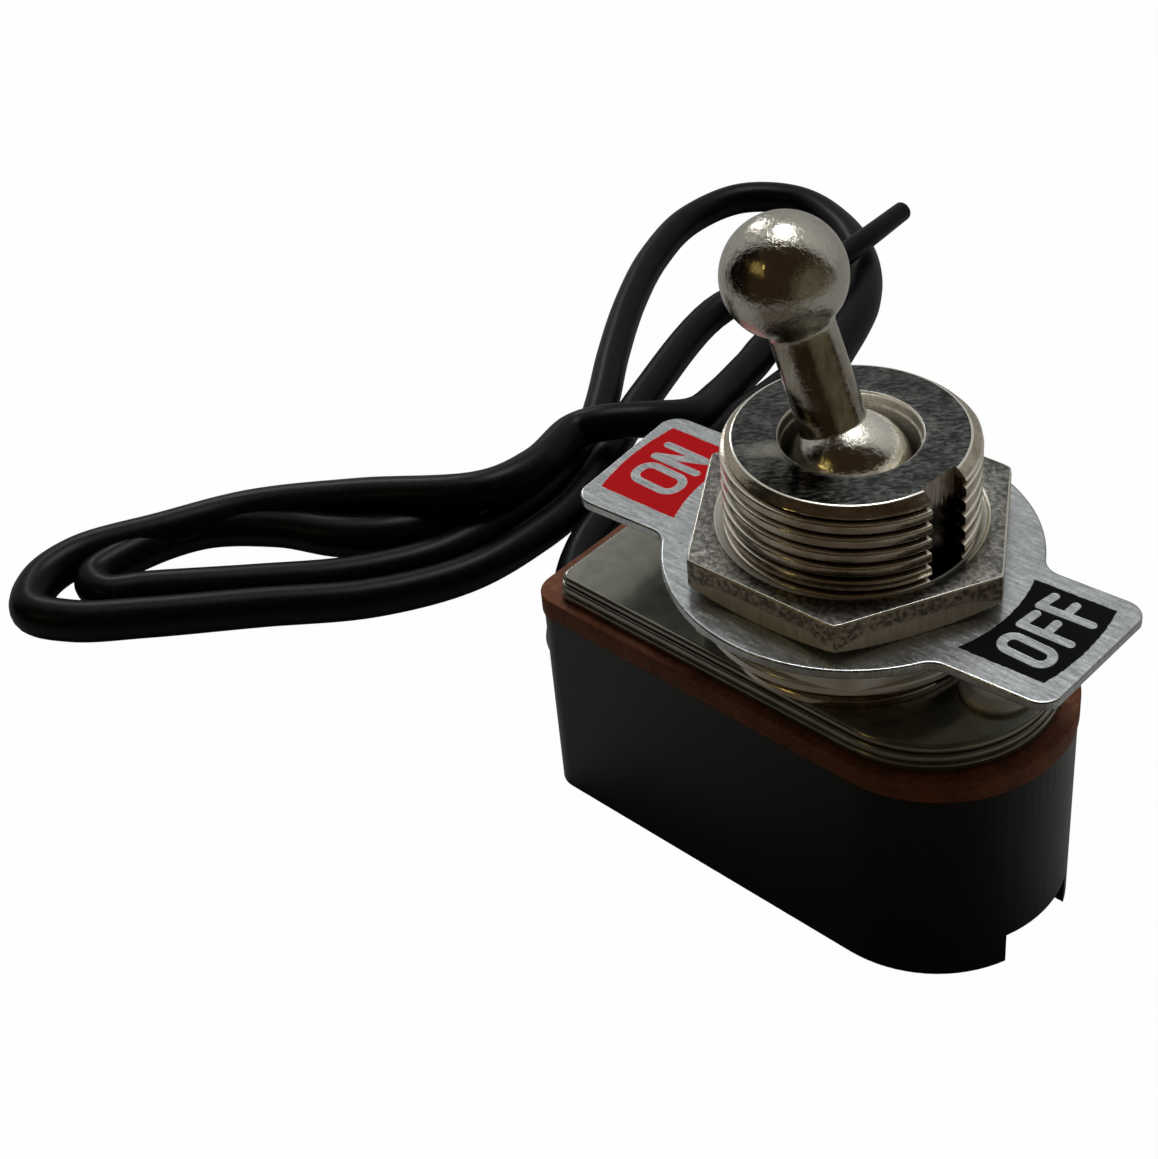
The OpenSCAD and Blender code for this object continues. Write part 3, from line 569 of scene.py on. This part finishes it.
class Finish:
    """A material whose nodes are added one by one; ends in one Principled shader."""

    def __init__(self, name, color, rough, metal=0.0, **fixed):
        self.material = bpy.data.materials.new(name)
        self.material.use_nodes = True
        self.tree = self.material.node_tree
        self.shader = self.tree.nodes["Principled BSDF"]
        self.shader.inputs["Base Color"].default_value = (*color, 1)
        self.shader.inputs["Roughness"].default_value = rough
        self.shader.inputs["Metallic"].default_value = metal
        for key, value in fixed.items():
            self.shader.inputs[key.replace("_", " ")].default_value = value

    def node(self, kind, settings=None, inputs=None):
        n = self.tree.nodes.new(kind)
        for key, value in (settings or {}).items():
            setattr(n, key, value)
        for key, value in (inputs or {}).items():
            target = n.inputs[key]
            if isinstance(value, Value):
                self.tree.links.new(value.socket, target)
            else:
                target.default_value = value
        return [Value(self, s) for s in n.outputs]

    def place(self):
        """Object coordinates in millimetres."""
        return self.stretch(self.node("ShaderNodeTexCoord")[3], (1000.0, 1000.0, 1000.0))

    def flow(self):
        """The piece's own UV map."""
        return self.node("ShaderNodeUVMap", {"uv_map": "flow"})[0]

    def split(self, vector):
        return self.node("ShaderNodeSeparateXYZ", None, {0: vector})

    def join(self, x, y, z):
        return self.node("ShaderNodeCombineXYZ", None, {0: x, 1: y, 2: z})[0]

    def noise(self, at, scale, detail=3.0, rough=0.55, distort=0.0):
        return self.node("ShaderNodeTexNoise", None, {
            "Vector": at, "Scale": scale, "Detail": detail, "Roughness": rough, "Distortion": distort})[0]

    def stretch(self, at, scale):
        return self.node("ShaderNodeMapping", None, {"Vector": at, "Scale": scale})[0]

    def mix(self, factor, a, b):
        """Mix of two colours."""
        n = self.tree.nodes.new("ShaderNodeMix")
        n.data_type = "RGBA"
        for index, value in ((0, factor), (6, a), (7, b)):
            if isinstance(value, Value):
                self.tree.links.new(value.socket, n.inputs[index])
            else:
                n.inputs[index].default_value = (*value, 1) if index else value
        return Value(self, n.outputs[2])

    def set(self, key, value):
        self.tree.links.new(value.socket, self.shader.inputs[key])

    def bump(self, height, strength, distance):
        self.set("Normal", self.node("ShaderNodeBump", None, {
            "Height": height, "Strength": strength, "Distance": distance * MM})[0])

    def on(self, *pieces):
        for piece in pieces:
            piece.data.materials.clear()
            piece.data.materials.append(self.material)


def nickel(name, color, rough, mottle=0.25, bump=0.15, metal=1.0):
    """Plated metal: cloudy patches in tint and gloss, with fine pits."""
    f = Finish(name, color, rough, metal)
    at = f.place()
    cloud = f.noise(at, 0.9, 4, 0.6)
    grain = f.noise(at, 9.0, 3, 0.6)
    dark = tuple(c * (1 - mottle) for c in color)
    f.set("Base Color", f.mix((cloud * 0.7 + grain * 0.3).over(0.5, 0.5), dark, color))
    f.set("Roughness", cloud * 0.16 + grain * 0.1 + (rough - 0.13))
    f.bump(grain + f.noise(at, 28.0, 2) * 0.4, bump, 0.02)
    return f


nickel("polished_nut", (0.97, 0.94, 0.87), 0.16, 0.3, 0.14, 0.45).on(back_nut, washer)
nickel("zinc_plated_sheet", (0.37, 0.368, 0.325), 0.2, 0.4, 0.08, 0.82).on(*plates)
nickel("rivet_plate", (0.84, 0.83, 0.79), 0.4, 0.15, 0.1, 0.3).on(*rivets)


def lever_finish():
    """Bright nickel with an uneven skin: fine ripples that break up reflections, and dull scuffs."""
    f = Finish("bright_nickel", (0.62, 0.59, 0.54), 0.14, 1.0)
    at = f.place()
    cloud = f.noise(at, 0.8, 4, 0.6)
    skin = f.noise(at, 3.2, 4, 0.65, 0.4)
    pits = f.noise(at, 16.0, 2, 0.5)
    x, y, z = f.split(at)
    # distance from the pivot ball's centre, which sits a little up the tilted stem
    aside, up = x + 0.07, z - (PIVOT_Z + 0.19)
    pivot = 1 - (aside * aside + y * y + up * up).root().over(PIVOT_R + 0.06, 0.06)
    # painted highlight: the upper, far side of the pivot ball is coloured pale, with less metal and more roughness
    painted_dome_highlight = pivot * (z + y * 0.5 - x * 0.1 + (skin - 0.5) * 0.8).over(25.2, 0.7)
    ball = z.over(PIVOT_Z + 7.2, 0.8)
    streak = f.noise(f.stretch(at, (3.0, 3.0, 0.35)), 1.1, 4, 0.6)
    scuff = (skin * 0.6 + cloud * 0.4).over(0.56, 0.1)
    # painted reflection: the stem is coloured darker and browner than the ball, in upright streaks, for the dark room
    # it mirrors
    stem = f.mix(streak.over(0.5, 0.3), (0.34, 0.30, 0.24), (0.52, 0.49, 0.43))
    skinned = f.mix(ball.most(pivot), stem, f.mix(scuff * 0.6, (0.61, 0.585, 0.52), (0.40, 0.365, 0.30)))
    f.set("Base Color", f.mix(painted_dome_highlight, skinned, (0.86, 0.83, 0.76)))
    f.set("Metallic", 1 - painted_dome_highlight * 0.12)
    f.set("Roughness", scuff * 0.12 + pits * 0.05 + 0.05 + painted_dome_highlight * 0.12 + (1 - ball) * 0.05)
    f.bump((skin + pits * 0.12) * (ball * 0.6 + 0.4) + pivot * skin * 0.5, 0.7, 0.05)
    return f


lever_finish().on(handle)


def bushing_finish():
    """Plated thread with painted shade, dark brown, in its valleys and a painted highlight on each crest's edge. The
    flat top is a dark, blotched turned face with painted highlights on its edges and a painted reflection of the lever.
    The mouth's wall carries painted light; the keyway is painted shade, streaked with painted light on its upper part.
    """
    f = Finish("dull_nickel", (0.60, 0.57, 0.51), 0.22, 1.0)
    at = f.place()
    x, y, z = f.split(at)
    far = (x * x + y * y).root()
    cloud = f.noise(at, 0.9, 4, 0.6)
    grain = f.noise(at, 7.0, 4, 0.65)
    skin = f.noise(f.stretch(at, (1.0, 1.0, 4.0)), 2.0, 3, 0.6)
    crest = f.mix((cloud * 0.6 + grain * 0.4).over(0.5, 0.25), (0.42, 0.345, 0.26), (0.72, 0.65, 0.55))
    # painted highlight: a thin pale line along each crest's edge
    crest = f.mix(far.over(THREAD_R - 0.09, 0.03) * (1 - far.over(THREAD_R - 0.015, 0.012)), crest, (0.98, 0.93, 0.84))
    # painted shade: the thread's valleys, below the flat top, are coloured dark brown where shade falls between the
    # turns
    painted_valley_shade = (1 - far.over(THREAD_R - 0.21, 0.16)) * far.over(3.9, 0.1) * (1 - z.over(BUSHING_TOP - 0.42, 0.12))
    wall = f.mix(painted_valley_shade, crest, (0.10, 0.065, 0.04))
    streak = f.noise(f.stretch(at, (6.0, 6.0, 0.5)), 1.4, 4, 0.7)
    c, s = math.cos(KEYWAY), math.sin(KEYWAY)
    outward, aside = x * c + y * s, abs(y * c - x * s)
    keyway = outward.over(4.6, 0.1) * (1 - outward.over(5.2, 0.04)) * (1 - aside.over(HALF_KEYWAY - 0.005, 0.02))
    keyway = keyway * (1 - z.over(BUSHING_TOP - 0.015, 0.01))
    # painted light: the keyway's upper part is coloured pale in streaks, with less metal, where light reaches into it
    lit = keyway * (z + (streak - 0.5) * 1.6).over(23.9, 0.35)
    along, across = x * RIGHT[0] + y * RIGHT[1], y * RIGHT[0] - x * RIGHT[1]
    # painted light: the mouth's wall is coloured pale, and paler toward the camera's right, for light falling into it
    mouth = (1 - far.over(3.5, 0.06)) * z.over(23.0, 0.2)
    bright = (grain * 0.6 + cloud * 0.4).over(0.5, 0.2) * 0.5 + along.over(0.3, 4.5) * 0.5
    wall = f.mix(mouth, wall, f.mix(bright, (0.22, 0.20, 0.16), (0.80, 0.77, 0.69)))
    # painted shade: the keyway is coloured nearly black, for the shade inside the slot
    wall = f.mix(keyway, wall, (0.03, 0.022, 0.016))
    wall = f.mix(lit, wall, f.mix(streak.over(0.5, 0.3), (0.26, 0.22, 0.18), (0.70, 0.62, 0.54)))
    # painted highlights on the thin edges of the flat top: the outer one, and the one round the mouth
    outer = far.over(5.365, 0.01) * (1 - far.over(5.47, 0.02))
    inner = far.over(BORE_R + 0.04, 0.02) * (1 - far.over(BORE_R + 0.185, 0.01))
    rim = outer.most(inner) * z.over(BUSHING_TOP - 0.15, 0.02)
    wall = f.mix(rim, wall, (0.95, 0.92, 0.84))
    blot = (f.noise(f.join(along * 1.1, across * 2.6, 0.0), 2.1, 5, 0.66) * 0.7 + cloud * 0.3).over(0.54, 0.2)
    # a painted reflection of the lever: a paler smear at the near left of the mouth
    left, near = along + 3.6, across + 0.9
    painted_lever_reflection = 1 - (left * left * 0.35 + near * near * 2.2 + (cloud - 0.5) * 2.4).over(0.7, 1.2)
    face = f.mix(painted_lever_reflection * 0.7, f.mix(blot, (0.042, 0.045, 0.046), (0.21, 0.213, 0.205)), (0.46, 0.44, 0.39))
    top = z.over(BUSHING_TOP - 0.004, 0.006) * (1 - rim)
    f.set("Base Color", f.mix(top, wall, face))
    # the painted light and painted highlights get less metal, so that they show pale
    f.set("Metallic", 1 - mouth * 0.15 - lit * 0.75 - rim * (1 - mouth) * 0.4)
    on_top, on_wall = (blot * 0.14 + 0.13) * top, (skin * 0.16 + grain * 0.08 + 0.08) * (1 - top)
    f.set("Roughness", mouth * 0.15 + on_top + on_wall)
    f.bump(grain * 0.6 + skin, 0.25, 0.03)
    return f


bushing_finish().on(bushing)


def nut_finish():
    """Pressed steel nut. The top is matt and pitted. On each side the upper band is the torn dark part of the cut and
    the lower band the sheared bright part with upright streaks; their border drops toward each corner."""
    f = Finish("steel_nut", (0.40, 0.38, 0.34), 0.36, 1.0)
    at, flow = f.place(), f.flow()
    u, v, _ = f.split(flow)
    cloud = f.noise(at, 0.9, 5, 0.7)
    pits = f.noise(at, 3.6, 4, 0.66)
    fine = f.noise(at, 12.0, 3, 0.6)
    streak = f.noise(f.stretch(flow, (5.0, 0.4, 1.0)), 1.0, 5, 0.7)
    border = v + (pits - 0.5) * 0.5 + (abs(u) - 2.6).most(0.0) * 0.35
    flat_top, upper_edge = v.over(NUT_T - 0.003, 0.003), v.over(NUT_T - 0.08, 0.03)
    rim = upper_edge * (1 - flat_top)
    torn = border.over(1.0, 0.08) * (1 - upper_edge)
    x, y, _ = f.split(at)
    painted_lip_highlight = (1 - (x * x + y * y).root().over(6.36, 0.06)) * v.over(1.6, 0.02)
    side = f.mix(streak.over(0.52, 0.35), (0.68, 0.63, 0.56), (1.0, 0.97, 0.9))
    rough_band = f.mix(pits.over(0.52, 0.2), (0.16, 0.135, 0.105), (0.66, 0.59, 0.50))
    top = f.mix((pits * 0.55 + cloud * 0.25 + fine * 0.2).over(0.515, 0.16), (0.095, 0.09, 0.08), (0.31, 0.302, 0.28))
    # painted highlights: the rounded upper edges and the lip round the bore are coloured pale
    f.set("Base Color", f.mix(rim.most(painted_lip_highlight), f.mix(flat_top, f.mix(torn, side, rough_band), top), (0.80, 0.78, 0.71)))
    # the painted highlight on the lip is palest at the left
    bright = painted_lip_highlight * (1 - (x * RIGHT[0] + y * RIGHT[1]).over(-1.5, 3.0))
    f.set("Metallic", (flat_top.most(rim) * 0.75 + 0.25) * (1 - bright * 0.85))
    f.set("Roughness", torn * 0.2 + flat_top * 0.08 + fine * 0.12 + 0.18)
    f.bump((pits + fine * 0.2) * (torn + flat_top * 0.5) + streak * 0.3, 0.5, 0.06)
    return f


nut_finish().on(face_nut)


def printed_plate():
    """Aluminium sheet, finely streaked, with a red field on the ON tab, a black field on the OFF tab, and the
    letters left bare in the metal: each letter is the least distance to its strokes, less half a stroke."""
    f = Finish("printed_aluminium", (0.72, 0.73, 0.75), 0.3, 1.0, Specular_IOR_Level=0.05)
    at = f.place()
    x, y, z = f.split(at)

    def stroke(ax, ay, bx, by):
        """Distance to a straight stroke from a to b."""
        dx, dy = bx - ax, by - ay
        long2 = dx * dx + dy * dy
        t = ((x - ax) * (dx / long2) + (y - ay) * (dy / long2)).held()
        ex, ey = x - ax - t * dx, y - ay - t * dy
        return (ex * ex + ey * ey).root()

    def oval(x0, y0, x1, y1, r):
        """Distance to a rounded box drawn as a line."""
        cx, cy, hx, hy = (x0 + x1) / 2, (y0 + y1) / 2, (x1 - x0) / 2 - r, (y1 - y0) / 2 - r
        qx, qy = abs(x - cx) - hx, abs(y - cy) - hy
        px, py = qx.most(0.0), qy.most(0.0)
        return abs((px * px + py * py).root() + qx.most(qy).least(0.0) - r)

    def nearest(*distances):
        out = distances[0]
        for distance in distances[1:]:
            out = out.least(distance)
        return out

    off = nearest(
        oval(9.47, -1.82, 11.88, -0.76, 0.5),
        stroke(9.46, 0.0, 11.93, 0.16), stroke(9.46, 0.0, 9.57, 1.0), stroke(10.69, 0.2, 10.69, 0.98),
        stroke(9.40, 1.58, 11.97, 1.81), stroke(9.40, 1.58, 9.55, 2.5), stroke(10.67, 1.75, 10.67, 2.5))
    on = nearest(
        oval(-11.95, -2.22, -9.42, -0.85, 0.6),
        stroke(-12.05, -0.24, -9.5, -0.15), stroke(-12.15, 0.85, -9.7, 0.9), stroke(-12.05, -0.2, -9.7, 0.86))
    bare = 1 - nearest(off, on).over(0.23, 0.04)
    ragged = (f.noise(at, 3.5, 3) - 0.5) * 0.12
    far = (x * x + y * y).root() + ragged

    def field(r0, r1, slope, middle, half, soft):
        """A printed field between two radii, and within half its width of a line that slopes a little."""
        return far.within(r0, r1, soft) * (1 - (abs(y - x * slope + middle) + ragged).over(half, soft))

    off_side = x.over(0.0, 0.1)
    printed = z.over(FACE_NUT_Z - 0.05, 0.02) * (1 - bare)
    black = field(8.68, 12.74, 0.08, 0.66, 2.98, 0.03) * off_side * printed
    red = field(8.72, 13.08, 0.052, 0.16, 2.92, 0.05) * (1 - off_side) * printed
    streak = f.noise(f.stretch(at, (0.8, 5.0, 1.0)), 1.2, 4, 0.65)
    speck = f.noise(at, 5.0, 4, 0.7)
    metal = f.mix((streak * 0.6 + speck * 0.4).over(0.5, 0.3), (0.38, 0.40, 0.415), (0.66, 0.69, 0.71))
    worn = speck.over(0.68, 0.12) * 0.5
    paint = f.mix(red, metal, f.mix(worn, (0.62, 0.002, 0.006), (0.40, 0.002, 0.004)))
    f.set("Base Color", f.mix(black, paint, (0.0008, 0.0013, 0.0016)))
    ink = black.most(red)
    f.set("Metallic", 1 - ink)
    f.set("Roughness", (streak * 0.2 + speck * 0.1 + 0.1) * (1 - ink) + ink * 0.5)
    f.bump(streak + speck * 0.5 + bare * -1.2, 0.2, 0.03)
    return f


printed_plate().on(sign)


def fibre_finish():
    """Vulcanised fibre: reddish brown, matted, with pale flecks of lint and darker pressed patches."""
    f = Finish("red_brown_fibre", (0.2, 0.07, 0.04), 0.62, Specular_IOR_Level=0.15)
    at = f.place()
    cloud = f.noise(at, 0.5, 4, 0.6)
    lint = f.noise(f.stretch(at, (1.0, 1.0, 3.0)), 3.5, 5, 0.7)
    base = f.mix(cloud.over(0.5, 0.35), (0.125, 0.038, 0.017), (0.23, 0.08, 0.038))
    f.set("Base Color", f.mix(lint.over(0.6, 0.25) * 0.45, base, (0.34, 0.2, 0.13)))
    f.bump(lint, 0.4, 0.04)
    return f


fibre_finish().on(fibre)


def moulding_finish():
    """Black phenolic moulding with a faintly cloudy sheen."""
    f = Finish("black_moulding", (0.004, 0.004, 0.005), 0.32, Specular_IOR_Level=0.28,
               Specular_Tint=(0.86, 0.93, 1.0, 1))
    at = f.place()
    cloud = f.noise(at, 0.35, 3, 0.5)
    grain = f.noise(at, 7.0, 3, 0.6)
    f.set("Base Color", f.mix(cloud.over(0.5, 0.5), (0.0024, 0.0026, 0.0036), (0.0055, 0.006, 0.0085)))
    f.set("Roughness", cloud * 0.12 + grain * 0.06 + 0.26)
    f.bump(grain, 0.08, 0.02)
    return f


moulding_finish().on(case)


def insulation_finish():
    """Black insulation with faint drawing lines along it and a little dust."""
    f = Finish("black_insulation", (0.003, 0.0035, 0.004), 0.36, Specular_IOR_Level=0.12)
    length, girth, _ = f.split(f.flow())
    draw = f.noise(f.join(length * 0.15, girth * 14.0, 0.0), 1.6, 3, 0.5)
    dust = f.noise(f.place(), 2.2, 4, 0.65)
    f.set("Roughness", draw * 0.12 + dust * 0.14 + 0.22)
    f.set("Base Color", f.mix(dust.over(0.62, 0.3), (0.002, 0.0025, 0.003), (0.006, 0.0065, 0.007)))
    f.bump(draw, 0.12, 0.02)
    return f


insulation_finish().on(lead_a, lead_b)
nickel("copper_strand", (0.72, 0.36, 0.2), 0.3, 0.2, 0.1).on(*strands_a, *strands_b)


def plain(name, color, rough, metal):
    """Finish of the inner pieces: one tint with a fine cloud in it."""
    f = Finish(name, color, rough, metal)
    cloud = f.noise(f.place(), 1.5, 3)
    f.set("Base Color", f.mix(cloud, tuple(c * 0.8 for c in color), color))
    f.set("Roughness", cloud * 0.15 + rough - 0.07)
    return f


for finish, nodes in (
        (plain("white_nylon", (0.75, 0.73, 0.66), 0.4, 0.0), ("plunger",)),
        (plain("stamped_brass", (0.72, 0.52, 0.22), 0.28, 1.0), ("rocker", "common_terminal", "on_terminal")),
        (plain("silver_button", (0.82, 0.82, 0.8), 0.22, 1.0), ("rocker_contact", "on_contact")),
        (plain("drawn_steel", (0.55, 0.55, 0.54), 0.3, 1.0), ("plunger_spring", "rocker_pin", "pivot_pin"))):
    finish.on(*(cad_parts[node] for node in nodes))


# ---------------------------------------------------------------- floor, lamps, surroundings
def floor():
    """Pale paper under the switch, in metres. Rays from the camera see it white. Its colour, which lights the
    undersides and shows in reflections, carries a painted shadow: deeper and warmer in a patch on the near side of the
    round end."""
    mesh = bpy.data.meshes.new("paper_floor")
    sheet = [(-0.30, 0.0), (-0.154, -0.027), (-0.062, -0.060), (0.044, -0.073), (0.078, -0.045), (0.108, 0.023),
             (0.198, 0.198), (0.30, 0.42), (-0.05, 0.62), (-0.45, 0.5), (-0.5, 0.2)]
    mesh.from_pydata([(x, y, 0) for x, y in sheet], [], [tuple(range(len(sheet)))])
    piece = bpy.data.objects.new("paper_floor", mesh)
    scene.collection.objects.link(piece)
    piece.location.z = -0.00002
    f = Finish("white_paper", (0.45, 0.44, 0.42), 0.9)
    x, y, _ = f.split(f.place())
    # painted shadow: the paper is deeper and warmer in a patch on the near side, where the switch's shadow falls
    dx, dy = x - 17, y + 29
    away = (dx * dx + dy * dy).root()
    f.set("Base Color", f.mix(away.over(30.0, 20.0), (0.15, 0.125, 0.095), (0.47, 0.465, 0.45)))
    path = f.node("ShaderNodeLightPath")
    from_camera, glossy, through = path[0], path[3], path[6]
    seen = from_camera * 0.985 + glossy * 0.02 + through * 0.9
    white = f.node("ShaderNodeEmission", None, {"Color": (1, 1, 1, 1), "Strength": 1.0})[0]
    blend = f.node("ShaderNodeMixShader", None, {0: seen, 1: Value(f, f.shader.outputs[0]), 2: white})[0]
    f.tree.links.new(blend.socket, f.tree.nodes["Material Output"].inputs["Surface"])
    f.on(piece)


floor()


def lamp(name, direction, size, watts, color=(1, 1, 1)):
    """A round lamp half a metre off in a direction from the switch, facing it; size is in metres."""
    data = bpy.data.lights.new(name, "AREA")
    data.shape, data.size, data.energy, data.color = "DISK", size, watts, color
    piece = bpy.data.objects.new(name, data)
    scene.collection.objects.link(piece)
    d = np.array(direction, float)
    d /= np.linalg.norm(d)
    piece.location = Vector(d * 0.5) + Vector((0, 0, 0.02))
    piece.rotation_mode = "QUATERNION"
    piece.rotation_quaternion = Vector(d).to_track_quat("Z", "Y")


lamp("overhead_lamp", (-0.213, 0.303, 0.930), 0.2, 0.74)
lamp("side_lamp", (-0.804, 0.388, 0.458), 0.11, 0.2)
lamp("warm_lamp", (-0.256, -0.772, 0.583), 0.007, 0.04, (1.0, 0.76, 0.24))


class Surroundings(Finish):
    """The same ways of adding nodes, in the world's own tree."""

    def __init__(self, world):
        self.tree = world.node_tree


def surroundings():
    """A pale room behind and a dim one on the near side; the camera itself sees white."""
    world = bpy.data.worlds.new("room")
    scene.world = world
    world.use_nodes = True
    k = Surroundings(world)
    x, y, z = k.split(k.node("ShaderNodeTexCoord")[0])
    behind = x * -0.487 + y * 0.842 + z * 0.233
    olive = k.mix(x.over(0.84, 0.14), (0.030, 0.019, 0.010), (0.115, 0.10, 0.065))
    room = k.mix(x.over(-0.45, 0.3), (0.004, 0.003, 0.002), olive)
    sky = k.mix(z.most(0.0).math("POWER", 2.0), (0.34, 0.342, 0.325), (0.60, 0.60, 0.57))
    shade = k.mix(behind.over(0.27, 0.05), room, sky)
    seen = k.node("ShaderNodeLightPath")[0]
    dim = k.node("ShaderNodeBackground", None, {"Color": shade, "Strength": 1.0})[0]
    white = k.node("ShaderNodeBackground", None, {"Color": (1, 1, 1, 1), "Strength": 1.0})[0]
    blend = k.node("ShaderNodeMixShader", None, {0: seen, 1: dim, 2: white})[0]
    k.tree.links.new(blend.socket, k.tree.nodes["World Output"].inputs["Surface"])


surroundings()

scene.view_settings.view_transform = "Standard"
